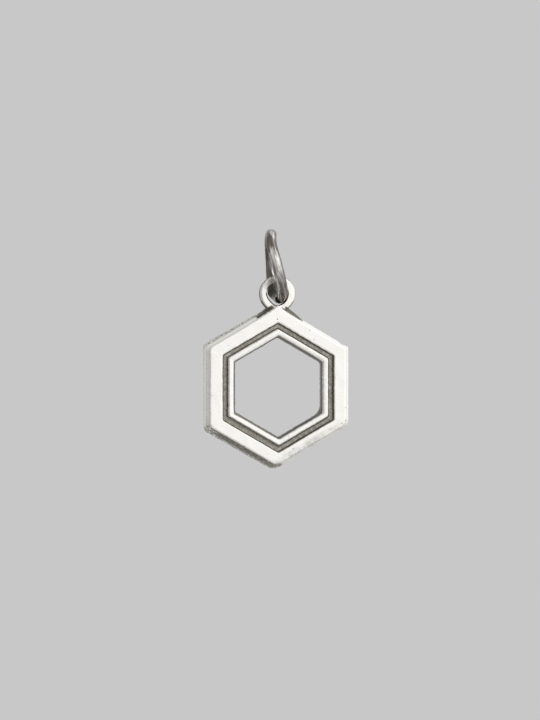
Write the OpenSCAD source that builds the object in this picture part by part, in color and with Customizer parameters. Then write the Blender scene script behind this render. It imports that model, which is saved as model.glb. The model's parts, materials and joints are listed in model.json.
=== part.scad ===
// Hexagon charm in cast silver: an open six-sided frame with a sunk groove and
// a raised inner rim, a round eye cast with it, and a jump ring through the eye.
// The charm hangs along -Z with its face towards -Y. The origin is the inside
// top of the jump ring, where a chain bears. Sizes are in millimetres.

/* [Hexagon frame] */
// Width across the left and right flats
across_flats = 12; // [11:0.5:14]
// Thickness from the front face to the back face
frame_t = 2; // [1.6:0.1:2.4]
// Width of the flat outer band, its bevel included
band_w = 1.29; // [1:0.01:1.5]
// Width of the sunk groove inside the band
groove_w = 0.49; // [0.4:0.01:0.65]
// Depth of the groove below the front face
groove_d = 0.42; // [0.25:0.01:0.6]
// Width of the raised rim round the opening
rim_w = 0.52; // [0.4:0.01:0.65]
// Width of the bevel along the outer edges
edge_bevel = 0.2; // [0.1:0.01:0.25]
// Rounding of the six outer corners
corner_r = 0.4; // [0.25:0.05:0.6]

/* [Eye] */
// Outer diameter of the eye on top of the frame
eye_od = 3; // [2.8:0.1:3.4]
// Diameter of the hole that the jump ring runs through
eye_hole_d = 1.94; // [1.8:0.01:2]
// Thickness of the eye, less than the frame's
eye_t = 1.2; // [1.1:0.05:1.5]
// Height of the eye's centre above the frame's outer corner line
eye_rise = 0.87; // [0.85:0.01:1.1]
// Rounding of the eye's edges
eye_round = 0.28; // [0.1:0.01:0.3]
// Height of the shoulder beside the eye, measured square to the frame's side
shoulder_h = 0.3; // [0.15:0.01:0.35]
// Distance from the middle line to the tip of each shoulder
shoulder_reach = 2.1; // [1.8:0.05:2.4]

/* [Jump ring] */
// Outer diameter of the jump ring
ring_od = 6.2; // [6:0.1:7]
// Diameter of its wire
wire_d = 0.9; // [0.8:0.05:0.95]
// Lean of the ring to the left, seen from the front, in degrees
ring_lean = 8; // [0:1:12]
// Turn of the ring about its own upright line, its front to the left, in degrees
ring_turn = 4; // [0:0.5:5]
// Width of the hairline cut where the wire's two ends meet
seam_w = 0.04; // [0.02:0.01:0.08]
// Angle of that cut from the top of the ring, towards the back
seam_angle = 52; // [40:1:70]
// Clearance between the wire and the wall of the eye's hole, which it has slid down to
wire_gap = 0.05; // [0.04:0.01:0.08]
// Distance that the wire lies to the right of the hole's middle
wire_side = 0.22; // [0:0.01:0.3]

/* [Hidden] */
$fn = 128;

// Jump ring: its inside top is at the origin, and its plane is YZ before it turns and leans.
wire_r = wire_d / 2;
ring_inner_r = ring_od / 2 - wire_d;
ring_mean_r = ring_od / 2 - wire_r;

// Centre of the wire at the foot of the ring, which the charm swings about.
wire_drop = 2 * ring_inner_r + wire_r;
swing_x = wire_drop * sin(ring_lean);
swing_z = -wire_drop * cos(ring_lean);

// The wire lies low in the hole, right of its middle, and curves up and away on both sides.
hole_r = eye_hole_d / 2;
wire_play = hole_r - wire_r - wire_gap;
charm_x = swing_x - wire_side;
hole_z = swing_z + sqrt(wire_play * wire_play - wire_side * wire_side);
// The eye is worn thinner on top, so its hole sits this much above its centre.
hole_lift = 0.06;
eye_z = hole_z - hole_lift;
hole_mouth = 0.1;
spare = 0.5;

// Frame: flats to the left and right, corners to the top and bottom.
outer_a = across_flats / 2;
frame_z = eye_z - eye_rise - outer_a / cos(30);
groove_outer_a = outer_a - band_w;
rim_outer_a = groove_outer_a - groove_w;
opening_a = rim_outer_a - rim_w;
front = -frame_t / 2;
back = frame_t / 2;
groove_floor = front + groove_d;
wall_draft = 0.07;
lip = 0.05;
rim_bevel = 0.16;
back_bevel = 0.14;
opening_flare = 0.18;
// A bevel's depth for each millimetre of width, and where its rounded middle lies.
bevel_slope = 1.1;
mid_across = 0.32;
mid_down = 0.3;
// Rounding of the corners, and how much less it is at the edge of a bevel.
groove_corner_r = 0.22;
rim_corner_r = 0.28;
opening_corner_r = 0.22;
opening_back_corner_r = 0.9;
corner_ease = 0.06;
corner_steps = 5;

// Shoulders: thinner than the eye, rooted inside the band under the top corner.
shoulder_t = eye_t - 0.1;
shoulder_neck = 0.75;
shoulder_root = 0.7;

// Section of the frame, in order round its outline: [apothem, level, corner rounding].
// The apothem is the distance from the frame's middle to a flat side.
frame_section = [
    [outer_a - edge_bevel,              front,                             corner_r - corner_ease],
    [outer_a - mid_across * edge_bevel, front + mid_down * edge_bevel,     corner_r],
    [outer_a,                           front + bevel_slope * edge_bevel,  corner_r],
    [outer_a,                           back - bevel_slope * back_bevel,   corner_r],
    [outer_a - mid_across * back_bevel, back - mid_down * back_bevel,      corner_r],
    [outer_a - back_bevel,              back,                              corner_r - corner_ease],
    [opening_a + opening_flare + back_bevel, back,                         opening_back_corner_r + corner_ease],
    [opening_a + opening_flare,         back - back_bevel,                 opening_back_corner_r],
    [opening_a,                         front + rim_bevel,                 opening_corner_r],
    [opening_a + mid_across * rim_bevel, front + mid_down * rim_bevel,     opening_corner_r],
    [opening_a + rim_bevel,             front,                             opening_corner_r + corner_ease],
    [rim_outer_a - lip,                 front,                             rim_corner_r - corner_ease],
    [rim_outer_a,                       front + lip,                       rim_corner_r],
    [rim_outer_a + wall_draft,          groove_floor,                      rim_corner_r],
    [groove_outer_a - wall_draft,       groove_floor,                      groove_corner_r],
    [groove_outer_a,                    front + lip,                       groove_corner_r],
    [groove_outer_a + lip,              front,                             groove_corner_r + corner_ease]
];

// Hexagon with its corners rounded, as [x, z] points round the middle.
function hexagon_loop(apothem, rounding) = [
    for (side = [0:5], step = [0:corner_steps])
        let (
            corner = 30 + 60 * side,
            turn = corner - 30 + 60 * step / corner_steps,
            reach = (apothem - rounding) / cos(30)
        )
        [
            reach * cos(corner) + rounding * cos(turn),
            reach * sin(corner) + rounding * sin(turn)
        ]
];

// Closed body swept from a section round the hexagon.
module hexagon_sweep(section) {
    rows = len(section);
    cols = 6 * (corner_steps + 1);
    points = [
        for (row = section, p = hexagon_loop(row[0], row[2]))
            [p[0], row[1], p[1]]
    ];
    faces = [
        for (r = [0:rows - 1], c = [0:cols - 1])
            let (next_r = (r + 1) % rows, next_c = (c + 1) % cols)
            [
                r * cols + c,
                r * cols + next_c,
                next_r * cols + next_c,
                next_r * cols + c
            ]
    ];
    polyhedron(points = points, faces = faces);
}

// Round bar end profile: a rectangle from the axis outwards, outer corners rounded.
function disc_section(r, t, rounding) = concat(
    [[0, -t / 2]],
    [for (a = [-90:30:0]) [r - rounding + rounding * cos(a), -t / 2 + rounding + rounding * sin(a)]],
    [for (a = [0:30:90]) [r - rounding + rounding * cos(a), t / 2 - rounding + rounding * sin(a)]],
    [[0, t / 2]]
);

module along_y(z) {
    translate([0, 0, z]) rotate([-90, 0, 0]) children();
}

module eye_disc() {
    along_y(eye_z) rotate_extrude() polygon(disc_section(eye_od / 2, eye_t, eye_round));
}

// The hole, with its two mouths eased.
module eye_hole() {
    along_y(hole_z) {
        cylinder(r = hole_r, h = eye_t + 2 * spare, center = true);
        for (end = [0, 180])
            rotate([end, 0, 0])
                translate([0, 0, eye_t / 2 - hole_mouth])
                    cylinder(r1 = hole_r, r2 = hole_r + hole_mouth + spare, h = hole_mouth + spare);
    }
}

// Web between the eye and the frame's two upper sides, lower than the front face.
module shoulders() {
    corner_z = frame_z + outer_a / cos(30);
    tip_z = corner_z - shoulder_reach * tan(30);
    neck_z = corner_z - shoulder_neck * tan(30) + shoulder_h / cos(30);
    translate([0, shoulder_t / 2, 0])
        rotate([90, 0, 0])
            linear_extrude(shoulder_t)
                polygon([
                    [-shoulder_reach, tip_z],
                    [0, corner_z - shoulder_root],
                    [shoulder_reach, tip_z],
                    [shoulder_neck, neck_z],
                    [-shoulder_neck, neck_z]
                ]);
}

// Hexagon frame, shoulders and eye: one casting.
module hexagon_charm() {
    color("silver")
        translate([charm_x, 0, 0]) {
            translate([0, 0, frame_z]) hexagon_sweep(frame_section);
            shoulders();
            difference() {
                eye_disc();
                eye_hole();
            }
        }
}

// Round wire bent into a ring, its ends brought together at a hairline cut.
module jump_ring() {
    seam = seam_w / ring_mean_r * 180 / PI;
    color("dimgray")
        rotate([0, -ring_lean, 0])
            translate([0, 0, -ring_inner_r])
                rotate([0, 90, -ring_turn])
                    rotate([0, 0, 180 - seam_angle + seam / 2])
                        rotate_extrude(angle = 360 - seam)
                            translate([ring_mean_r, 0]) circle(r = wire_r);
}

hexagon_charm();
jump_ring();
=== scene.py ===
"""A worn silver hexagon charm on a tarnished jump ring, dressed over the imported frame.

Lengths are millimetres until a mesh, a light or the camera is made, where MM turns them into metres.
"""

import json
import math

import bmesh
import bpy
import numpy as np
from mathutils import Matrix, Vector


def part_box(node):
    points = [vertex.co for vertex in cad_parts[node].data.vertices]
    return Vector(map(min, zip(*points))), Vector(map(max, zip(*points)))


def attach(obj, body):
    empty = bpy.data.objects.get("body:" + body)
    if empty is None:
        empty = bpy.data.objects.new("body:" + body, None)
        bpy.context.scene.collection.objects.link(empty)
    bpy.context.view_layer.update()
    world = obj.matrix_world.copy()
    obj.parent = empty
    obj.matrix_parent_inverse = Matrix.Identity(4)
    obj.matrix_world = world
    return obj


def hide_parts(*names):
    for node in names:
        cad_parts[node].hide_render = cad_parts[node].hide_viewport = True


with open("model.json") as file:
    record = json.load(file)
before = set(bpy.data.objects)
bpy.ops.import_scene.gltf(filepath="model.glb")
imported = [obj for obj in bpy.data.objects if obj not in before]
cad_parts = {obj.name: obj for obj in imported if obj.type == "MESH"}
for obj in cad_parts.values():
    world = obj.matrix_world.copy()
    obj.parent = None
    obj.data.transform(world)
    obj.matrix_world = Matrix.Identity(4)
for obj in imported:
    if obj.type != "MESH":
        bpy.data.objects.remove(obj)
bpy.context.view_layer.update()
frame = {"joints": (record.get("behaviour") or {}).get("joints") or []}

MM = 0.001
COS30 = math.cos(math.radians(30))
TAN30 = math.tan(math.radians(30))


def box_mm(node):
    """Lowest and highest corner of a CAD node, in millimetres."""
    low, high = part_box(node)
    return np.array(low) / MM, np.array(high) / MM


def smooth_step(low, high, value):
    """0 at low, 1 at high, and a smooth ramp between them. Low may be the larger."""
    t = np.clip((value - low) / (high - low), 0, 1)
    return t * t * (3 - 2 * t)


def hump(centre, width, value):
    """1 at the centre, falling smoothly to 0 over the width on both sides."""
    return np.exp(-(((value - centre) / width) ** 2))


# Sizes of the charm, from the frame where it shows them. A name in _r is a radius, and one in _a is
# an apothem, the distance from the hexagon's middle to a side.
charm_low, charm_high = box_mm("hexagon_charm")
ring_low, ring_high = box_mm("jump_ring")
middle_x = (charm_low[0] + charm_high[0]) / 2
outer_a = (charm_high[0] - charm_low[0]) / 2
thickness = charm_high[1] - charm_low[1]
front_y = charm_low[1]
corner_r = 0.4
frame_z = charm_low[2] + (outer_a - corner_r) / COS30 + corner_r
band_width = 1.29
groove_width = 0.47
groove_depth = 0.42
rim_width = 0.58
groove_outer_a = outer_a - band_width
rim_outer_a = groove_outer_a - groove_width
opening_a = rim_outer_a - rim_width

eye_r = 1.5
eye_thickness = 1.2
eye_z = charm_high[2] - eye_r
hole_lift = 0.03
hole_width = 1.78
hole_height = 1.92

# The jump ring, from the joint that runs along the foot of its wire
swing = np.array(frame["joints"][0]["pos_m"]) / MM
ring_back = np.array(frame["joints"][0]["axis"])
wire_r = 0.45
ring_mean_r = ((ring_high[1] - ring_low[1]) / 2 - wire_r) / ring_back[1]
ring_up = -swing / np.linalg.norm(swing)
ring_centre = swing + ring_up * ring_mean_r
# The hairline where the wire's ends meet: degrees back from the ring's top, and width
seam_angle = 52
seam_width = 0.04

# How each side of the frame is worn, in order of angle from the right, in millimetres: trim is
# taken off the outer edge, draft is added to it at the back, blunt widens its bevel, groove pushes
# the groove's outer wall out and rim its inner one, lip moves the opening in, and flare widens it to
# the back. line is the width of the dark line on the opening's lip.
SIDES = [
    {"side": "right", "trim": 0.01, "draft": 0.00, "blunt": -0.02, "groove": 0.00,
     "rim": 0.01, "lip": 0.00, "flare": 0.18, "line": 0.04},
    {"side": "upper right", "trim": 0.08, "draft": 0.06, "blunt": -0.02, "groove": -0.03,
     "rim": 0.00, "lip": 0.00, "flare": 0.06, "line": 0.14},
    {"side": "upper left", "trim": -0.02, "draft": 0.06, "blunt": 0.00, "groove": 0.00,
     "rim": 0.06, "lip": 0.01, "flare": 0.14, "line": 0.13},
    {"side": "left", "trim": -0.03, "draft": -0.05, "blunt": -0.07, "groove": 0.00,
     "rim": 0.02, "lip": 0.02, "flare": 0.14, "line": 0.18},
    {"side": "lower left", "trim": 0.03, "draft": 0.12, "blunt": 0.03, "groove": 0.00,
     "rim": -0.08, "lip": 0.10, "flare": 0.14, "line": 0.20},
    {"side": "lower right", "trim": 0.19, "draft": 0.12, "blunt": -0.02, "groove": -0.02,
     "rim": -0.03, "lip": 0.00, "flare": 0.04, "line": 0.06},
]
# How each side looks, in the same order: bevel, crease, wall, rear and back are the tarnish left on
# the outside, from the front to the back edge, and inside is that on the opening's wall, where more
# than 1 is black; on the lower left side bevel, crease and wall also paint shade. wear pits and
# frays the metal, dull takes its shine, and lightened is 1 where the rim's outer wall is rubbed
# lighter.
FINISH = [
    {"side": "right", "bevel": 0.00, "crease": 0.10, "wall": 0.10, "rear": 0.00,
     "back": 0.6, "inside": 1.12, "wear": 0.25, "dull": 0.15, "lightened": 0},
    {"side": "upper right", "bevel": 0.00, "crease": 0.30, "wall": 0.10, "rear": 0.20,
     "back": 0.7, "inside": 1.25, "wear": 0.15, "dull": 0.00, "lightened": 0},
    {"side": "upper left", "bevel": 0.00, "crease": 0.00, "wall": 0.00, "rear": 0.64,
     "back": 0.8, "inside": 1.20, "wear": 0.15, "dull": 0.00, "lightened": 1},
    {"side": "left", "bevel": 0.14, "crease": 0.50, "wall": 0.02, "rear": 0.00,
     "back": 1.4, "inside": 1.22, "wear": 0.45, "dull": 0.10, "lightened": 1},
    # The lower left side's bevel, crease and wall are painted shade as well as tarnish.
    {"side": "lower left", "bevel": 1.22, "crease": 1.00, "wall": 1.40, "rear": 0.00,
     "back": 0.8, "inside": 1.25, "wear": 0.50, "dull": 0.10, "lightened": 1},
    {"side": "lower right", "bevel": 0.00, "crease": 0.10, "wall": 0.30, "rear": 0.00,
     "back": 0.7, "inside": 1.50, "wear": 1.00, "dull": 0.80, "lightened": 0},
]
LEFT_SIDE = 3
# Each corner, from the lower right one on: rounding of the outside and of the opening's back, what
# is added there to the back of the outside, and how far its front edge stands out.
CORNERS = [
    {"corner": "lower right", "outside": 1.10, "opening": 1.10, "draft": 0.00, "keen": 0.00},
    {"corner": "upper right", "outside": 0.28, "opening": 0.50, "draft": 0.00, "keen": 0.00},
    {"corner": "top", "outside": 0.55, "opening": 0.80, "draft": 0.00, "keen": 0.08},
    {"corner": "upper left", "outside": 0.60, "opening": 0.80, "draft": 0.10, "keen": 0.00},
    {"corner": "lower left", "outside": 0.60, "opening": 0.80, "draft": 0.06, "keen": 0.00},
    {"corner": "bottom", "outside": 0.95, "opening": 0.80, "draft": 0.00, "keen": 0.00},
]
UPPER_LEFT_CORNER = 3
# Knocks in the outer edge: across and up from the frame's middle, radius, and depth.
NICKS = [
    {"x": 5.48, "z": 3.76, "radius": 0.22, "depth": 0.09},
    {"x": 0.45, "z": -6.62, "radius": 0.30, "depth": 0.07},
    {"x": 3.10, "z": -4.95, "radius": 0.30, "depth": 0.06},
    {"x": -5.75, "z": -3.40, "radius": 0.26, "depth": 0.05},
]

# The frame's mesh: its steps round each corner and along each side, and the longest across its skin
ARC_STEPS = 9
SIDE_STEPS = 76
SPACING = 0.095


def softened(rows, steps=6):
    """A closed outline with its corners eased. A row is [across, level, soften, extra...]."""
    rows = np.array(rows, dtype=float)
    out = []
    for i, here in enumerate(rows):
        ends = []
        for other in (rows[i - 1], rows[(i + 1) % len(rows)]):
            share = min(here[2] / np.linalg.norm(other[:2] - here[:2]), 0.49)
            ends.append(here + (other - here) * share)
        for t in np.linspace(0, 1, steps):
            out.append((1 - t) ** 2 * ends[0] + 2 * t * (1 - t) * here + t**2 * ends[1])
    return np.array(out)


def refined(points, spacing):
    """The closed outline with its long straights cut into steps no longer than spacing."""
    out = []
    for here, after in zip(points, np.roll(points, -1, axis=0)):
        count = max(1, math.ceil(np.linalg.norm(after[:2] - here[:2]) / spacing))
        out += [here + (after - here) * k / count for k in range(count)]
    return np.array(out)


def ripple(seed, at, waves, size):
    """A smooth closed wobble: at is an angle, and waves the lowest and highest count round it."""
    random = np.random.RandomState(seed)
    counts = np.arange(*waves)
    strength = random.normal(size=len(counts)) / np.sqrt(len(counts))
    phases = random.uniform(0, 2 * math.pi, len(counts))
    return size * sum(a * np.sin(k * at + p) for a, k, p in zip(strength, counts, phases))


def undulation(seed, x, z, wavelength, size):
    """A smooth uneven height over a plane."""
    random = np.random.RandomState(seed)
    total = np.zeros_like(x)
    waves = 14
    for _ in range(waves):
        turn, phase = random.uniform(0, 2 * math.pi, 2)
        pace = 2 * math.pi / (wavelength * random.uniform(0.6, 1.6))
        total += np.sin(pace * (x * math.cos(turn) + z * math.sin(turn)) + phase)
    return size * total / math.sqrt(waves)


def grid_faces(rows, columns):
    """Quads of a grid that closes both ways."""
    r, c = np.meshgrid(np.arange(rows), np.arange(columns), indexing="ij")
    r2, c2 = (r + 1) % rows, (c + 1) % columns
    quads = [r * columns + c, r * columns + c2, r2 * columns + c2, r2 * columns + c]
    return np.stack(quads, axis=-1).reshape(-1, 4).tolist()


def shown(name, mesh):
    """An object for a mesh, shaded smoothly and placed in the scene."""
    mesh.polygons.foreach_set("use_smooth", [True] * len(mesh.polygons))
    made = bpy.data.objects.new(name, mesh)
    bpy.context.scene.collection.objects.link(made)
    return made


def solid(name, points, faces):
    """A mesh object from points in millimetres, its faces turned outwards."""
    mesh = bpy.data.meshes.new(name)
    mesh.from_pydata((np.asarray(points) * MM).tolist(), [], faces)
    work = bmesh.new()
    work.from_mesh(mesh)
    bmesh.ops.recalc_face_normals(work, faces=work.faces)
    work.to_mesh(mesh)
    work.free()
    return shown(name, mesh)


def column(table, key):
    """One named column of a table, as numbers."""
    return np.array([row[key] for row in table])


def drafted(level):
    """How much of its draft the outside has at each depth. The front half of the wall is straight."""
    return smooth_step(1.1, thickness - 0.1, level)


# The charm
def hexagon_columns():
    """For each column of the frame's mesh: its two directions, and its shares of sides and corners."""
    reach, outward, side_share, corner_share = [], [], [], []
    sides = len(SIDES)
    one = np.eye(sides)

    def direction_of(degrees):
        return np.array([math.cos(math.radians(degrees)), math.sin(math.radians(degrees))])

    for k in range(sides):
        corner = 60 * k - 30
        for t in np.arange(ARC_STEPS) / ARC_STEPS:
            reach.append(direction_of(corner))
            outward.append(direction_of(corner - 30 + 60 * t))
            side_share.append((1 - t) * one[k - 1] + t * one[k])
            corner_share.append(one[k])
        for t in np.arange(SIDE_STEPS) / SIDE_STEPS:
            reach.append((1 - t) * direction_of(corner) + t * direction_of(corner + 60))
            outward.append(direction_of(corner + 30))
            side_share.append(one[k])
            corner_share.append((1 - t) * one[k] + t * one[(k + 1) % sides])
    return [np.array(v) for v in (reach, outward, side_share, corner_share)]


def frame_outline():
    """The frame's section: apothem, depth behind the front face, softening, and corner rounding."""
    bevel = 0.24
    bevel_depth = 0.23
    back_bevel = 0.14
    back = thickness
    rows = [
        [outer_a - bevel, 0, 0.13, corner_r],
        [outer_a, bevel_depth, 0.08, corner_r],
        [outer_a, back - back_bevel, 0.08, corner_r],
        [outer_a - back_bevel, back, 0.08, corner_r],
        [opening_a + back_bevel, back, 0.08, 0.8],
        [opening_a, back - back_bevel, 0.08, 0.8],
        [opening_a, 0.28, 0.04, 0.22],
        [opening_a + 0.05, 0.10, 0.05, 0.22],
        [opening_a + 0.14, 0.025, 0.07, 0.22],
        [opening_a + 0.34, 0, 0.14, 0.24],
        [rim_outer_a - 0.03, 0, 0.11, 0.24],
        [rim_outer_a + 0.06, groove_depth, 0.07, 0.26],
        [groove_outer_a - 0.07, groove_depth, 0.07, 0.20],
        [groove_outer_a + 0.02, 0, 0.08, 0.24],
    ]
    return refined(softened(rows), SPACING)


def nicked(x, z, level):
    """How far each point is pushed towards the middle by the knocks in the outer edge."""
    push = np.zeros_like(x)
    for nick in NICKS:
        away = np.hypot(x - nick["x"], z - nick["z"])
        push += nick["depth"] * hump(0, nick["radius"], away) * smooth_step(0.9, 0.1, level)
    return push


def frame_body():
    """The hexagonal frame with its groove and rim, its sides and corners worn as the tables say."""
    outline = frame_outline()
    across, level, rounding = outline[:, 0:1], outline[:, 1:2], outline[:, 3:4]
    reach_dir, outward_dir, side_share, corner_share = hexagon_columns()
    turn = np.unwrap(np.arctan2(reach_dir[:, 1], reach_dir[:, 0]))

    outer = smooth_step(groove_outer_a + 0.25, outer_a - 0.25, across)
    front_edge = outer * smooth_step(0.7, 0.1, level)
    in_rim = smooth_step(rim_outer_a + 0.2, rim_outer_a - 0.1, across)
    in_groove = smooth_step(rim_outer_a, rim_outer_a + 0.2, across) * (1 - outer) * (level < 1)
    opening_back = smooth_step(0.3, 1.2, level) * smooth_step(outer_a - 0.8, outer_a - 1.4, across)

    # Worn edges wave, the most on the sides that are worn most, and only ever inwards. The walls
    # between them are smooth and a little uneven.
    wear = side_share @ column(FINISH, "wear")
    wave = np.abs(ripple(3, turn, (4, 30), 0.018)) + np.abs(ripple(5, turn, (30, 140), 0.008))
    rough = np.abs(ripple(8, turn, (60, 260), 0.024)) * smooth_step(0.4, 1.0, wear)
    edges = front_edge + smooth_step(thickness - 0.6, thickness - 0.1, level)
    blunt = (side_share @ column(SIDES, "blunt")) * smooth_step(outer_a - 0.45, outer_a - 0.1, across)
    trim = side_share @ column(SIDES, "trim")
    apothem = across - outer * (trim + edges * np.minimum(wave + rough, 0.06))
    down = outer_a * reach_dir[:, 1] + level
    over = outer_a * reach_dir[:, 0] + 0.6 * level
    uneven = np.abs(undulation(24, over, down, 1.8, 0.012))
    apothem = apothem - outer * (1 - edges) * uneven
    apothem = apothem - front_edge * blunt
    draft = side_share @ column(SIDES, "draft") + corner_share @ column(CORNERS, "draft")
    apothem = apothem + outer * drafted(level) * draft
    apothem = apothem + front_edge * (corner_share**3 @ column(CORNERS, "keen"))

    # The opening's flare and lip, both of the groove's walls, and the unevenness of groove and rim
    opened = smooth_step(0.3, thickness - 0.1, level) * (across < opening_a + 0.3)
    apothem = apothem + opened * (side_share @ column(SIDES, "flare"))
    inner_edge = smooth_step(opening_a + 0.35, opening_a + 0.10, across)
    apothem = apothem - inner_edge * (side_share @ column(SIDES, "lip"))
    rim_edge = hump(rim_outer_a, 0.16, across) * smooth_step(0.6, 0.3, level)
    apothem = apothem + rim_edge * (side_share @ column(SIDES, "rim"))
    groove_edge = hump(groove_outer_a, 0.12, across) * smooth_step(0.6, 0.3, level)
    apothem = apothem + groove_edge * (side_share @ column(SIDES, "groove"))
    apothem = apothem + in_groove * ripple(11, turn, (4, 60), 0.012)
    apothem = apothem + in_rim * ripple(13, turn, (4, 60), 0.010)

    # From apothems to places, with each corner's own rounding
    outside_r = corner_share @ column(CORNERS, "outside")
    opening_r = corner_share @ column(CORNERS, "opening")
    rounded = rounding * (1 - outer - opening_back) + outside_r * outer + opening_r * opening_back
    reach = (apothem - rounded) / COS30
    x = reach * reach_dir[:, 0] + rounded * outward_dir[:, 0]
    z = reach * reach_dir[:, 1] + rounded * outward_dir[:, 1]
    keep = 1 - nicked(x, z, level) / np.hypot(x, z)
    x, z = x * keep, z * keep

    # The front, the groove's floor and the back are a little uneven.
    y = np.broadcast_to(front_y + level, x.shape).copy()
    y += smooth_step(0.35, 0.0, level) * np.abs(undulation(21, x, z, 2.2, 0.008))
    y += in_groove * smooth_step(0.2, 0.4, level) * undulation(22, x, z, 0.35, 0.012)
    y -= smooth_step(thickness - 0.4, thickness, level) * np.abs(undulation(23, x, z, 2.6, 0.012))
    # The top corner is rubbed flat where the eye stands on it.
    apex = hump(0, 0.45, np.hypot(x, z - outer_a / COS30 + 0.13))
    y -= 0.6 * apex * level * smooth_step(0.6, 0.25, level)
    points = np.stack([middle_x + x, y, frame_z + z], axis=-1).reshape(-1, 3)
    return solid("frame_body", points, grid_faces(*x.shape))


def hole_radius(turn):
    """The radius of the eye's hole by angle: a little taller than wide, and pulled up to the left."""
    radius = hole_width / 2 * np.cos(turn) ** 2 + hole_height / 2 * np.sin(turn) ** 2
    degrees = np.degrees(turn) % 360
    radius = radius + hole_lift * np.sin(turn)
    return radius + 0.08 * hump(150, 25, degrees) - 0.09 * hump(225, 28, degrees)


def eye_body():
    """The round eye, its edges worn soft."""
    half = eye_thickness / 2
    rim = eye_r - hole_width / 2
    rows = [
        # across from the hole's edge, level, softening, share of the rim, and the rest of across
        [0, half - 0.10, 0.06, 0, 0],
        [0, -half + 0.08, 0.05, 0, 0],
        [0.02, -half, 0.03, 0, 0.02],
        [rim - 0.10, -half, 0.13, 1, -0.10],
        [rim, -half + 0.14, 0.10, 1, 0],
        [rim, -0.10, 0.20, 1, 0],
        [rim - 0.24, half, 0.20, 1, -0.24],
        [0.10, half, 0.08, 0, 0.10],
    ]
    outline = refined(softened(rows, steps=5), spacing=0.07)
    level, share, rest = outline[:, 1:2], outline[:, 3:4], outline[:, 4:5]
    columns = 168
    turn = np.arange(columns) * 2 * math.pi / columns
    outside = eye_r + 0.03 - np.minimum(np.abs(ripple(31, turn, (3, 16), 0.016)), 0.03)
    outside = outside + 0.04 * np.sin(turn)
    radius = (1 - share) * hole_radius(turn) + share * outside + rest
    x, z = radius * np.cos(turn), radius * np.sin(turn)
    # The flat of the eye is worn down a little towards its top.
    y = level * (1 - 0.03 * smooth_step(0.4, 1.4, z)) + undulation(33, x, z, 0.9, 0.006)
    points = np.stack([middle_x + x, y, eye_z + z], axis=-1).reshape(-1, 3)
    return solid("eye_body", points, grid_faces(*x.shape))


def shoulder_body():
    """The low web that runs from the eye down both upper sides of the frame."""
    left = 1.92
    right = 2.20
    neck = 0.72
    height = 0.37
    root = 0.30
    half = 0.54
    corner_z = frame_z + outer_a / COS30
    x = np.linspace(-left, right, 91)
    side = corner_z - np.abs(x) * TAN30
    reach = np.where(x < 0, left, right)
    rise = np.clip((reach - np.abs(x)) / (reach - neck), 0, 1)
    top = side - 0.04 + height * rise ** np.where(x < 0, 1.3, 0.85) + 0.008 * np.sin(9 * x)
    top = np.minimum(top, corner_z - neck * TAN30 + height)
    foot = side - root
    loops = []
    for px, high, low in zip(x, top, foot):
        # Half of the web's section, from its front foot over its eased top edge to the middle
        ease = min(0.10, (high - low) / 3)
        front = [(half, low), (half, (low + high) / 2), (half, high - ease)]
        front += [(half - 0.3 * ease, high - 0.3 * ease), (half - ease, high)]
        back = [(-y, z) for y, z in reversed(front)]
        loops.append([(middle_x + px, y, z) for y, z in front + [(0, high)] + back + [(0, low)]])
    size, count = len(loops[0]), len(loops)
    faces = []
    for i in range(count - 1):
        for j in range(size):
            k = (j + 1) % size
            faces.append([i * size + j, i * size + k, (i + 1) * size + k, (i + 1) * size + j])
    faces.append(list(range(size)))
    faces.append(list(range((count - 1) * size, count * size)))
    return solid("shoulder_body", [p for loop in loops for p in loop], faces)


def fused(name, bodies):
    """One skin from bodies that overlap, with the sharp edges near the eye eased."""
    weld_distance = 0.004
    sharp_angle = 0.6
    eased_from = frame_z + outer_a * 0.75
    spread_rounds = 2
    ease_rounds = 4
    base = bodies[0]
    for other in bodies[1:]:
        union = base.modifiers.new(other.name, "BOOLEAN")
        union.operation = "UNION"
        union.solver = "EXACT"
        union.object = other
    graph = bpy.context.evaluated_depsgraph_get()
    mesh = bpy.data.meshes.new_from_object(base.evaluated_get(graph))
    if len(mesh.vertices) < len(base.data.vertices):
        raise ValueError(name + ": its bodies did not join")
    for body in bodies:
        bpy.data.objects.remove(body)
    work = bmesh.new()
    work.from_mesh(mesh)
    bmesh.ops.remove_doubles(work, verts=work.verts, dist=weld_distance * MM)
    edges = [e for e in work.edges if len(e.link_faces) == 2 and e.calc_face_angle() > sharp_angle]
    near = {v for e in edges for v in e.verts if v.co.z > eased_from * MM}
    for _ in range(spread_rounds):
        near |= {e.other_vert(v) for v in near for e in v.link_edges}
    for _ in range(ease_rounds):
        bmesh.ops.smooth_vert(
            work, verts=list(near), factor=0.5, use_axis_x=True, use_axis_y=True, use_axis_z=True
        )
    work.to_mesh(mesh)
    work.free()
    return shown(name, mesh)


def store(mesh, name, values):
    """Keeps a number for each point, which the material reads by its name."""
    layer = mesh.attributes.new(name, "FLOAT", "POINT")
    layer.data.foreach_set("value", np.ascontiguousarray(values, dtype=np.float32))


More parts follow.
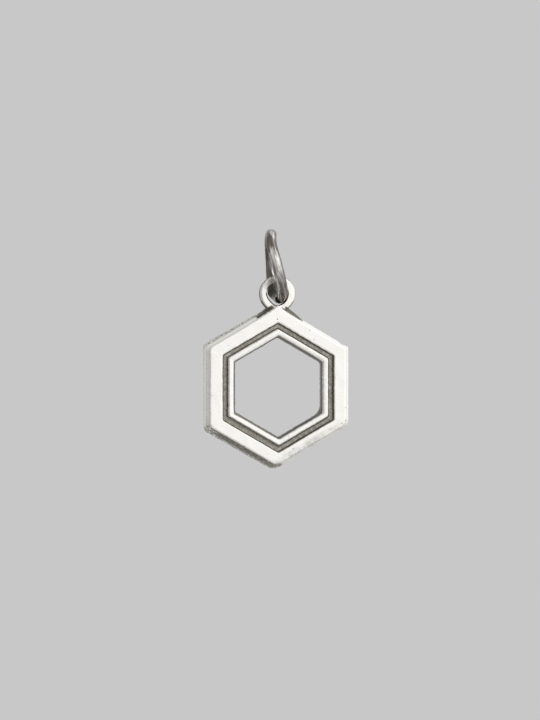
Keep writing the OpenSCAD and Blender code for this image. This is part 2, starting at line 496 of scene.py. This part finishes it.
class CharmPoints:
    """Where each of the charm's points lies, and which part of the charm it is on."""

    def __init__(self, mesh):
        flat = np.empty(len(mesh.vertices) * 3)
        mesh.vertices.foreach_get("co", flat)
        place = flat.reshape(-1, 3) / MM
        self.x = place[:, 0] - middle_x
        self.level = place[:, 1] - front_y
        self.z = place[:, 2] - frame_z

        # How far out towards its side each point is, and its share of each of the six sides
        side_blend = 0.25
        turns = np.radians(60 * np.arange(len(SIDES)))
        reach = np.outer(self.x, np.cos(turns)) + np.outer(self.z, np.sin(turns))
        self.across = reach.max(axis=1)
        share = np.exp((reach - self.across[:, None]) / side_blend)
        self.share = share / share.sum(axis=1, keepdims=True)
        self.edge_a = outer_a - self.share @ column(SIDES, "trim")
        self.finish = {key: self.share @ column(FINISH, key) for key in FINISH[0] if key != "side"}

        # Its place round the eye. in_hole is 1 on the hole's wall and more outside it.
        self.eye_up = place[:, 2] - eye_z
        self.eye_level = np.abs(place[:, 1])
        self.from_eye = np.hypot(self.x, self.eye_up)
        self.in_hole = self.from_eye / hole_radius(np.arctan2(self.eye_up, self.x))

        # The eye and the web stand above the frame's upper corner.
        web_reach = 2.3
        upper_x = np.where(self.z > 0, self.x, 0)
        corner_draft = column(CORNERS, "draft")[UPPER_LEFT_CORNER] * np.clip(-upper_x / outer_a, 0, 1)
        draft = drafted(self.level) * (self.share @ column(SIDES, "draft") + corner_draft)
        self.eye = (self.across > outer_a - 0.02) & (self.from_eye < eye_r + 0.06)
        above = (self.across > self.edge_a + draft + 0.012) & (self.z > 0)
        near = (np.abs(self.x) < web_reach) & (self.eye_level < eye_thickness / 2)
        self.web = above & near & ~self.eye
        self.frame = ~(self.eye | self.web)


def groove_tarnish(at):
    """Dark along the groove's walls, and lighter on the floor between them and where it is rubbed."""
    from_wall = np.minimum(at.across - rim_outer_a, groove_outer_a - at.across)
    groove = smooth_step(-0.05, 0.01, from_wall) * smooth_step(0.04, 0.16, at.level) * (at.level < 0.8)
    groove *= 1 - 0.42 * smooth_step(0.05, 0.15, from_wall)
    on_rim = (at.across < rim_outer_a + 0.12) * smooth_step(0.34, 0.20, at.level)
    return groove * (1 - 0.75 * (at.finish["lightened"] * on_rim))


def opening_tarnish(at):
    """Dark over the opening's wall, from a line just under the rim's crown."""
    wall = smooth_step(opening_a + 0.34, opening_a + 0.22, at.across) * smooth_step(0.05, 0.12, at.level)
    wall *= smooth_step(thickness - 0.02, thickness - 0.12, at.level)
    line_a = opening_a + at.share @ (column(SIDES, "line") - column(SIDES, "lip"))
    line = 0.9 * smooth_step(line_a + 0.03, line_a - 0.03, at.across) * (at.level < 0.5)
    wall = np.maximum(wall, line)
    return wall * (1 + (at.finish["inside"] - 1) * smooth_step(1.7, 0.9, at.level))


def outside_tarnish_and_shade(at):
    """Tarnish in the bevel, under it, at the back edge, and over some of the walls.

    On the lower left side it is deepened with painted shade.
    """
    level, finish = at.level, at.finish
    outside = smooth_step(at.edge_a - 0.42, at.edge_a - 0.22, at.across)
    bevel = finish["bevel"] * smooth_step(0.0, 0.07, level) * smooth_step(0.5, 0.3, level)
    crease = finish["crease"] * hump(0.25, 0.06, level)
    # A parting line runs along the left side's wall, in front of its middle.
    on_left = smooth_step(0.5, 1.0, at.share[:, LEFT_SIDE])
    parting = 0.8 * on_left * hump(0.50, 0.12, level)
    back_line = finish["back"] * hump(thickness - 0.16, 0.12, level)
    skin = finish["wall"] * smooth_step(0.22, 0.34, level)
    skin = skin * (1 - 0.6 * smooth_step(0.9, 1.8, level)) + finish["rear"] * smooth_step(0.18, 0.60, level)
    return outside * np.maximum.reduce([bevel, crease, parting, back_line, skin])


def frame_tarnish_and_shade(at):
    """Tarnish of the frame, with painted shade on its lower left side and a stain at its bottom corner."""
    stain = 0.8 * hump(0, 0.42, np.hypot(at.x - 0.08, at.z + 6.62)) * (at.level < 0.6)
    return np.maximum.reduce([groove_tarnish(at), opening_tarnish(at), outside_tarnish_and_shade(at), stain])


def eye_tarnish_and_shade(at):
    """Tarnish in the eye's hole and on its outer wall, and painted shade in the corner above the frame."""
    hole = 1.4 * smooth_step(1.12, 1.06, at.in_hole) * smooth_step(0.59, 0.53, at.eye_level)
    flank = 0.75 * smooth_step(eye_r - 0.12, eye_r - 0.04, at.from_eye)
    flank *= smooth_step(0.58, 0.48, at.eye_level)
    # Beside the top corner the eye's front meets the frame in a corner of painted shade, the left one the
    # deeper.
    aside = np.where(at.x < 0, smooth_step(0.3, 0.6, -at.x), smooth_step(0.5, 0.8, at.x))
    crook = 1.4 * smooth_step(outer_a + 0.28, outer_a + 0.14, at.across) * aside
    # Painted shade along the hole's lower left lip
    hole_line = 1.8 * smooth_step(1.15, 1.08, at.in_hole) * smooth_step(0.3, -0.1, at.eye_up)
    hole_line *= smooth_step(0.15, -0.25, at.x)
    # Painted shadow at the bottom of the eye's outer wall
    under = 1.3 * smooth_step(eye_r - 0.13, eye_r - 0.05, at.from_eye)
    under *= smooth_step(-0.35, -0.75, at.eye_up)
    return np.maximum.reduce([hole, flank, crook, hole_line, under])


def charm_tarnish_and_shade(at):
    """Tarnish and painted shade of the whole charm, with the top corner, where frame, web and eye meet."""
    # The web is black with tarnish, and the same level paints the web's shadow on the frame beside it.
    black_level = np.where(at.x < 0, 1.4, 1.25)
    patina_and_shade = np.where(at.eye, eye_tarnish_and_shade(at), np.where(at.web, black_level, frame_tarnish_and_shade(at)))
    # Behind its bevel the frame's top corner is darkened as far as the web runs, a painted shadow of the
    # web, and the corner itself is rubbed bright where it runs into the eye.
    aside = np.abs(at.x)
    on_bevel = smooth_step(0.35, 0.12, at.level)
    from_tip = np.where(at.x < 0, -at.x - 0.08 + 0.2 * on_bevel, at.x - 0.08) + 0.35 * at.level
    shadowed = smooth_step(2.14, 1.92, from_tip) * smooth_step(0.2, 0.42, aside) * (at.z > 0)
    shadowed *= smooth_step(outer_a - 0.26, outer_a - 0.18, at.across)
    shadowed *= smooth_step(0.03, 0.10, at.level)
    patina_and_shade = np.where(at.frame, np.maximum(patina_and_shade, black_level * shadowed), patina_and_shade)
    corner = at.frame & (at.z > 0) & (aside < 0.4) & (at.across > outer_a - 0.5)
    return np.where(corner, patina_and_shade * smooth_step(0.15, 0.4, aside), patina_and_shade)


def charm_surface(mesh):
    """Stores how tarnished, worn and dull the charm is at each point, and its painted shade."""
    at = CharmPoints(mesh)
    store(mesh, "patina_and_shade", charm_tarnish_and_shade(at))

    pitted = at.finish["wear"] * smooth_step(at.edge_a - 0.08, at.edge_a - 0.20, at.across)
    store(mesh, "wear", np.where(at.frame & (at.level < 0.3), pitted, 0.1))

    face = smooth_step(groove_outer_a, at.edge_a - 0.5, at.across)
    face *= smooth_step(at.edge_a - 0.12, at.edge_a - 0.28, at.across)
    rim_face = 1.2 * (at.across < rim_outer_a) * smooth_step(rim_outer_a - 0.3, rim_outer_a, at.across)
    frame_dull = at.finish["dull"] * (face + rim_face) * (at.level < 0.3)
    # The eye is dull at its upper left, beside the hole.
    from_left = np.degrees(np.arctan2(at.eye_up, at.x)) - 128
    eye_dull = 0.1 + 0.9 * hump(0, 26, from_left) * smooth_step(1.55, 1.2, at.in_hole)
    store(mesh, "dull", np.where(at.frame, frame_dull, eye_dull))

    speckled = smooth_step(at.edge_a - 0.30, at.edge_a - 0.15, at.across)
    store(mesh, "speckle", np.where(at.frame, speckled, 0))


def hexagon_charm():
    """The whole casting: frame, shoulders and eye in one skin."""
    charm = fused("charm_casting", [frame_body(), eye_body(), shoulder_body()])
    charm_surface(charm.data)
    return charm


# The jump ring
def wire_marks(turn, around):
    """How the wire is stained, rubbed, and painted with highlights and shade at each point of its skin.

    Turn is the place along the ring in degrees: 0 at the top, 90 behind, 180 the foot, 270 in front.
    Left is 1 on the wire's left flank and -1 on its right, and outward is 1 on the ring's outside.
    """
    left, turn = np.meshgrid(np.sin(around), turn)
    outward = np.tile(np.cos(around), (len(turn), 1))
    # Stained: the lower half, both flanks high in front, the left one over the top, and the top's outside
    foot = smooth_step(105, 130, turn) * smooth_step(268, 250, turn)
    upper = np.maximum(smooth_step(290, 303, turn), smooth_step(35, 10, turn))
    least = 0.65 - 0.85 * np.maximum(smooth_step(293, 311, turn), turn < 90)
    least = least + 0.65 * smooth_step(322, 342, turn)
    upper_left = 1.3 * upper * smooth_step(least - 0.2, least + 0.2, left)
    upper_right = 1.3 * hump(304, 14, turn) * smooth_step(0.3, -0.2, left)
    crown = (smooth_step(330, 350, turn) + smooth_step(30, 10, turn)) * smooth_step(0.5, 0.8, outward)
    # Shaded: low at the back, and the left flank over the top
    shade = smooth_step(112, 138, turn) * smooth_step(205, 180, turn)
    over_top = np.maximum(smooth_step(300, 325, turn), smooth_step(85, 60, turn))
    shade += 0.4 * over_top * smooth_step(-0.3, 0.4, left)
    # Lightened: the front at half height, partly rubbed metal and partly a painted highlight;
    # the back's inside at half height, a painted glint; the left edge low in front, a painted
    # reflection; and the right flank near the top in front, a painted highlight
    lightened = hump(284, 15, turn) * smooth_step(0.9, 0.4, np.abs(left))
    glint = hump(98, 17, turn) * hump(0.1 - 0.018 * (turn - 85), 0.22, left) * (outward < 0)
    bright = smooth_step(312, 324, turn) * smooth_step(-0.4, -0.95, left)
    edge = hump(0.80, 0.14, left) * smooth_step(196, 210, turn) * smooth_step(262, 246, turn)
    return {
        "beside": left, "outward": outward, "stain": foot + upper_left + upper_right + crown,
        "shade": shade, "lightened": lightened + 2.6 * glint + 2.2 * edge + 1.1 * bright,
    }


def jump_ring():
    """Round wire bent into a ring, slightly uneven, its two ends meeting at a hairline."""
    along_steps, round_steps = 360, 40
    gap = seam_width / ring_mean_r
    start = math.radians(seam_angle) + gap / 2
    along = np.linspace(start, start + 2 * math.pi - gap, along_steps)
    around = np.arange(round_steps) * 2 * math.pi / round_steps
    end = np.minimum(along - along[0], along[-1] - along) * ring_mean_r
    ease = 1 - 0.10 * np.clip(1 - end / 0.06, 0, 1) ** 2
    turn = np.degrees(along) % 360
    from_top = (turn + 180) % 360 - 180
    radius = wire_r * ease - np.abs(ripple(41, along, (3, 22), 0.008)) - 0.02 * hump(180, 16, turn)
    flat = ripple(43, along, (2, 9), 0.012)[:, None] * np.cos(2 * around + 0.6)
    radius = np.minimum(radius[:, None] + flat, wire_r)
    stretch = 0.11 * np.cos(along / 2)[:, None] ** 4
    out, beside = ring_mean_r + stretch + radius * np.cos(around), radius * np.sin(around)
    axis = np.cross(ring_up, ring_back)
    spoke = np.outer(np.cos(along), ring_up) + np.outer(np.sin(along), ring_back)
    # The ring was left twisted a little when it was closed, and bent to the left in a few places.
    bend = 0.16 * np.sin(2 * along) - 0.08 * np.sin(2 * along) ** 2 * (np.cos(along) > 0)
    bend += 0.10 * hump(-14, 22, from_top) - 0.08 * hump(268, 26, turn) - 0.12 * hump(145, 16, turn)
    # Its foot stays true, so that the charm swings on it freely.
    bend *= np.where(turn < 180, smooth_step(12, 40, 180 - turn), smooth_step(8, 26, turn - 180))
    sideways = (beside - bend[:, None])[:, :, None] * axis
    points = ring_centre + out[:, :, None] * spoke[:, None, :] + sideways
    last = (along_steps - 1) * round_steps
    faces = grid_faces(along_steps, round_steps)[:last]
    faces.append(list(range(round_steps)))
    faces.append(list(range(last, last + round_steps)))
    ring = solid("ring_wire", points.reshape(-1, 3), faces)
    store(ring.data, "along", np.repeat(along * ring_mean_r, round_steps))
    for name, values in wire_marks(turn, around).items():
        store(ring.data, name, values.ravel())
    return ring


# The materials

# The sockets that a Mix node has for colours
MIX_FIRST, MIX_SECOND, MIX_RESULT = 6, 7, 2
# How far bump stands out on both metals, in metres
RELIEF_DEPTH = 0.00002


class Nodes:
    """Short calls for making and joining the nodes of one material."""

    def __init__(self, owner):
        owner.use_nodes = True
        self.tree = owner.node_tree
        self.tree.nodes.clear()

    def make(self, kind, inputs=None, **settings):
        node = self.tree.nodes.new(kind)
        for key, value in settings.items():
            setattr(node, key, value)
        for key, value in (inputs or {}).items():
            if isinstance(value, bpy.types.NodeSocket):
                self.tree.links.new(value, node.inputs[key])
            else:
                node.inputs[key].default_value = value
        return node

    def math(self, operation, first, second=0.0, clamp=False):
        node = self.make("ShaderNodeMath", {0: first, 1: second}, operation=operation)
        node.use_clamp = clamp
        return node.outputs[0]

    def ramp(self, value, low, high, to_low=0.0, to_high=1.0, kind="SMOOTHSTEP"):
        sockets = {"Value": value, "From Min": low, "From Max": high, "To Min": to_low, "To Max": to_high}
        return self.make("ShaderNodeMapRange", sockets, interpolation_type=kind).outputs[0]

    def mix(self, share, first, second):
        sockets = {"Factor": share, MIX_FIRST: first, MIX_SECOND: second}
        return self.make("ShaderNodeMix", sockets, data_type="RGBA").outputs[MIX_RESULT]

    def noise(self, place, scale, detail=3.0, roughness=0.55):
        sockets = {"Vector": place, "Scale": scale, "Detail": detail, "Roughness": roughness}
        return self.make("ShaderNodeTexNoise", sockets).outputs["Fac"]

    def attribute(self, name):
        return self.make("ShaderNodeAttribute", attribute_name=name).outputs["Fac"]

    def place(self):
        return self.make("ShaderNodeTexCoord").outputs["Object"]

    def surface(self, inputs):
        shader = self.make("ShaderNodeBsdfPrincipled", inputs)
        self.make("ShaderNodeOutputMaterial", {0: shader.outputs[0]})


def rgb(red, green, blue):
    """A colour that isn't see-through."""
    return (red, green, blue, 1.0)


def grey(level):
    return rgb(level, level, level)


# Colours of the two metals. Noise mixes the two of a pair.
CLEAN_SILVER = [rgb(0.945, 0.925, 0.880), rgb(0.925, 0.905, 0.870)]
DULL_SILVER = rgb(0.60, 0.585, 0.56)
PITTED_SILVER = rgb(0.20, 0.19, 0.16)
THIN_TARNISH = [rgb(0.26, 0.245, 0.212), rgb(0.49, 0.468, 0.415)]
# The deep and black tarnish colours also paint the shade by the eye and web and on the lower left side.
DEEP_TARNISH = [rgb(0.28, 0.264, 0.226), rgb(0.44, 0.416, 0.362)]
BLACK_TARNISH_AND_SHADE = rgb(0.075, 0.070, 0.055)
CLEAN_WIRE = rgb(0.90, 0.875, 0.84)
BROWN_WIRE = rgb(0.165, 0.143, 0.130)
SPECKED_WIRE = rgb(0.14, 0.125, 0.115)
# Painted shade, low at the back of the ring and over its top's left flank
SHADED_WIRE = rgb(0.035, 0.034, 0.022)


def cast_silver():
    """Polished cast silver, rubbed bright on its faces, with olive-grey tarnish in its recesses.

    Patches of painted shade lie beside the eye and web and on the lower left side.
    """
    material = bpy.data.materials.new("cast_silver")
    n = Nodes(material)
    place = n.place()
    grain = n.noise(place, 9000, detail=4)
    mottle = n.noise(place, 2600)
    cloud = n.noise(place, 420, detail=2)
    # The first attribute holds both tarnish and painted shade.
    patina_and_shade, wear, dull, speckle = (n.attribute(name) for name in ("patina_and_shade", "wear", "dull", "speckle"))

    # Tarnish breaks up into grains at its edges.
    broken = n.math("ADD", patina_and_shade, n.ramp(grain, 0.25, 0.75, -0.20, 0.20, "LINEAR"))
    broken = n.math("ADD", broken, n.ramp(mottle, 0.25, 0.75, -0.12, 0.12, "LINEAR"))
    flecks = n.ramp(n.noise(place, 5200, detail=4, roughness=0.7), 0.42, 0.60, -0.65, 0.32)
    flecked = n.math("MULTIPLY", n.math("MULTIPLY", flecks, speckle), n.ramp(patina_and_shade, 0.2, 1.1))
    broken = n.math("ADD", broken, flecked)
    darkening = n.ramp(broken, 0.20, 0.62)
    depth = n.ramp(n.math("ADD", patina_and_shade, n.math("MULTIPLY", flecked, 0.6)), 0.50, 0.95)

    # Small pits, more of them where the face is worn
    sockets = {"Vector": place, "Scale": 2900.0, "Randomness": 1.0}
    cells = n.make("ShaderNodeTexVoronoi", sockets)
    chance = n.make("ShaderNodeSeparateColor", {0: cells.outputs["Color"]}).outputs[0]
    least = n.ramp(wear, 0.0, 1.0, 0.99, 0.66, "LINEAR")
    picked = n.math("GREATER_THAN", chance, least)
    pit = n.math("MULTIPLY", n.ramp(cells.outputs["Distance"], 0.22, 0.10), picked, clamp=True)

    bright = n.mix(n.ramp(cloud, 0.35, 0.65), *CLEAN_SILVER)
    dulled = n.math("MULTIPLY", n.ramp(mottle, 0.36, 0.66, 0.25, 1.0), n.ramp(dull, 0.10, 1.0, 0.0, 1.0))
    face = n.mix(dulled, bright, DULL_SILVER)
    face = n.mix(n.math("MULTIPLY", pit, 0.85), face, PITTED_SILVER)
    thin = n.mix(n.ramp(grain, 0.38, 0.66), *THIN_TARNISH)
    deep = n.mix(n.ramp(grain, 0.35, 0.70), *DEEP_TARNISH)
    black = n.math("MULTIPLY", n.ramp(patina_and_shade, 1.0, 1.5, kind="LINEAR"), 0.95)
    dark = n.mix(black, n.mix(depth, thin, deep), BLACK_TARNISH_AND_SHADE)
    colour = n.mix(darkening, face, dark)

    # Fine scratches from wear, all lying roughly one way
    turned = {"Vector": place, "Scale": (1.0, 1.0, 14.0), "Rotation": (0, 0.9, 0)}
    scratch = n.noise(n.make("ShaderNodeMapping", turned).outputs[0], 1800, roughness=0.7)
    rough = n.ramp(scratch, 0.3, 0.7, 0.20, 0.32, "LINEAR")
    rough = n.math("ADD", rough, n.math("MULTIPLY", dull, 0.08))
    rough = n.math("ADD", rough, n.math("MULTIPLY", darkening, 0.24), clamp=True)

    height = n.math("MULTIPLY", scratch, 0.25)
    height = n.math("ADD", height, n.math("MULTIPLY", n.math("MULTIPLY", grain, darkening), 2.0))
    height = n.math("SUBTRACT", height, n.math("MULTIPLY", pit, 1.5))
    height = n.math("ADD", height, n.math("MULTIPLY", mottle, 0.25))
    relief = n.make("ShaderNodeBump", {"Height": height, "Strength": 0.35, "Distance": RELIEF_DEPTH})
    n.surface({"Base Color": colour, "Metallic": 1.0, "Roughness": rough, "Normal": relief.outputs[0]})
    return material


def tarnished_wire():
    """Drawn silver wire: rubbed bright along its outside, tarnished brown grey on its flanks and inside.

    Painted highlights, a painted dark reflection on the right flank and painted shade lie in its colour.
    """
    material = bpy.data.materials.new("ring_wire")
    n = Nodes(material)
    place = n.place()
    beside, outward = n.attribute("beside"), n.attribute("outward")
    lengthwise = {0: n.math("MULTIPLY", n.attribute("along"), 0.14), 1: beside, 2: outward}
    streak = n.noise(n.make("ShaderNodeCombineXYZ", lengthwise).outputs[0], 3.2, detail=4, roughness=0.6)
    cloud = n.noise(place, 800)
    grain = n.noise(place, 8000)

    # Beside is negative on the right flank, where the wire is darkest: tarnish and a painted dark
    # reflection.
    flank = n.math("ADD", n.ramp(beside, -0.45, -0.80, 0.0, 0.75), n.ramp(beside, 0.6, 1.0, 0.0, 0.15))
    inside = n.ramp(outward, 0.25, -0.35, 0.0, 0.80)
    uneven = n.math("ADD", n.ramp(streak, 0.30, 0.70, -0.40, 0.45), n.ramp(cloud, 0.30, 0.70, -0.18, 0.22))
    darkening = n.math("ADD", n.math("ADD", flank, inside), uneven)
    darkening = n.math("ADD", darkening, n.math("MULTIPLY", n.attribute("stain"), 0.60))
    # Less tarnish where the wire is rubbed, and where highlights and a reflection are painted.
    darkening = n.math("SUBTRACT", darkening, n.math("MULTIPLY", n.attribute("lightened"), 0.45))
    darkening = n.math("ADD", darkening, 0.32, clamp=True)
    colour = n.mix(darkening, CLEAN_WIRE, BROWN_WIRE)
    colour = n.mix(n.ramp(grain, 0.60, 0.76, 0.0, 0.30), colour, SPECKED_WIRE)
    shade = n.math("MULTIPLY", n.attribute("shade"), n.ramp(streak, 0.25, 0.60, 1.0, 0.75))
    colour = n.mix(shade, colour, SHADED_WIRE)
    rough = n.ramp(darkening, 0.0, 1.0, 0.10, 0.24, "LINEAR")
    height = n.math("ADD", streak, n.math("MULTIPLY", grain, 0.2))
    relief = n.make("ShaderNodeBump", {"Height": height, "Strength": 0.08, "Distance": RELIEF_DEPTH})
    n.surface({"Base Color": colour, "Metallic": 1.0, "Roughness": rough, "Normal": relief.outputs[0]})
    return material


def studio_paper():
    """The pale floor's paper."""
    material = bpy.data.materials.new("studio_paper")
    n = Nodes(material)
    fibre = n.noise(n.place(), 60, detail=4)
    colour = n.mix(fibre, grey(0.76), grey(0.80))
    n.surface({"Base Color": colour, "Roughness": 0.9})
    return material


# The studio
CAMERA_AZIMUTH = -10.5
CAMERA_DISTANCE = 300
PIXELS_PER_MM = 12.0
# Where the photograph shows the middle of the hexagon's front, and the middle of its own frame
HEXAGON_PIXEL = (278.7, 387.7)
IMAGE_MIDDLE = (270, 360)
IMAGE_HEIGHT = 720
BACKDROP_GREY = 0.5776


def direction(azimuth, elevation):
    """Unit vector from the object towards a place round it. Azimuth 0 is in front, 90 to the right."""
    a, e = math.radians(azimuth), math.radians(elevation)
    return np.array([math.sin(a) * math.cos(e), -math.cos(a) * math.cos(e), math.sin(e)])


def place_camera():
    """A long lens at the photograph's angle, framed as the photograph is."""
    right = direction(CAMERA_AZIMUTH + 90, 0)
    hexagon = np.array([middle_x, front_y, frame_z])
    target = hexagon - right * (HEXAGON_PIXEL[0] - IMAGE_MIDDLE[0]) / PIXELS_PER_MM
    target[2] += (HEXAGON_PIXEL[1] - IMAGE_MIDDLE[1]) / PIXELS_PER_MM
    back = direction(CAMERA_AZIMUTH, 0)
    data = bpy.data.cameras.new("camera")
    data.sensor_width = 36
    data.lens = PIXELS_PER_MM * CAMERA_DISTANCE * data.sensor_width / IMAGE_HEIGHT
    data.clip_start, data.clip_end = 0.01, 10
    camera = bpy.data.objects.new("camera", data)
    camera.location = (target + back * CAMERA_DISTANCE) * MM
    camera.rotation_euler = Vector(-back).to_track_quat("-Z", "Y").to_euler()
    bpy.context.scene.collection.objects.link(camera)
    bpy.context.scene.camera = camera


def soft_light(name, azimuth, elevation, distance, width, height, brightness):
    """A soft box whose surface is as bright as the number says, aimed at the charm."""
    data = bpy.data.lights.new(name, "AREA")
    data.shape = "RECTANGLE"
    data.size, data.size_y = width * MM, height * MM
    data.energy = brightness * math.pi * data.size * data.size_y
    lamp = bpy.data.objects.new(name, data)
    toward = direction(azimuth, elevation)
    lamp.location = (np.array([middle_x, 0, frame_z]) + toward * distance) * MM
    lamp.rotation_euler = Vector(-toward).to_track_quat("-Z", "Y").to_euler()
    lamp.visible_camera = False
    bpy.context.scene.collection.objects.link(lamp)


# Brightness of the studio round the object, by azimuth in degrees
SURROUNDINGS = [
    (-180, 0.68), (-145, 0.46), (-85, 0.56), (-45, 0.46), (-14, 0.40), (12, 0.42),
    (42, 0.78), (85, 1.05), (122, 1.05), (142, 0.45), (160, 0.46), (180, 0.68),
]
# The share of that brightness from straight below and from straight above, and the most in all
FROM_BELOW, FROM_ABOVE, BRIGHTEST = 0.54, 1.46, 1.05


def studio_air():
    """Even grey behind the object. What the metal reflects is brighter to the right and above."""
    world = bpy.data.worlds.new("studio")
    n = Nodes(world)
    toward = n.make("ShaderNodeSeparateXYZ", {0: n.make("ShaderNodeTexCoord").outputs["Generated"]})
    azimuth = n.math("ARCTAN2", toward.outputs["X"], n.math("MULTIPLY", toward.outputs["Y"], -1.0))
    turn = n.ramp(azimuth, -math.pi, math.pi, kind="LINEAR")
    round_about = n.make("ShaderNodeValToRGB", {0: turn})
    stops = round_about.color_ramp
    stops.interpolation = "B_SPLINE"
    while len(stops.elements) < len(SURROUNDINGS):
        stops.elements.new(1.0)
    for stop, (degrees, brightness) in zip(stops.elements, SURROUNDINGS):
        stop.position = (degrees + 180) / 360
        stop.color = grey(brightness)
    lift = n.ramp(toward.outputs["Z"], -1.0, 1.0, FROM_BELOW, FROM_ABOVE, "LINEAR")
    level = n.math("MINIMUM", n.math("MULTIPLY", round_about.outputs[0], lift), BRIGHTEST)
    around = n.make("ShaderNodeBackground", {"Color": level})
    behind = n.make("ShaderNodeBackground", {"Color": grey(BACKDROP_GREY)})
    seen = n.make("ShaderNodeLightPath").outputs["Is Camera Ray"]
    shown_air = n.make("ShaderNodeMixShader", {0: seen, 1: around.outputs[0], 2: behind.outputs[0]})
    n.make("ShaderNodeOutputWorld", {0: shown_air.outputs[0]})
    bpy.context.scene.world = world


def floor_disc():
    """A pale round floor far enough below the hanging charm to clear every view of it."""
    radius, drop, steps = 420, 195, 96
    turns = [2 * math.pi * k / steps for k in range(steps)]
    points = [(radius * math.cos(t), radius * math.sin(t), -drop) for t in turns]
    floor = solid("floor", points, [list(range(steps))])
    floor.data.materials.append(studio_paper())


def dress(piece, material, body, node):
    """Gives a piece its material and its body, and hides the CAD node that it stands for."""
    piece.data.materials.append(material)
    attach(piece, body)
    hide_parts(node)


dress(hexagon_charm(), cast_silver(), "charm", "hexagon_charm")
dress(jump_ring(), tarnished_wire(), "ring", "jump_ring")
floor_disc()
studio_air()
soft_light("key_box", azimuth=20, elevation=10, distance=620, width=640, height=560, brightness=0.57)
place_camera()
bpy.context.scene.view_settings.view_transform = "Standard"
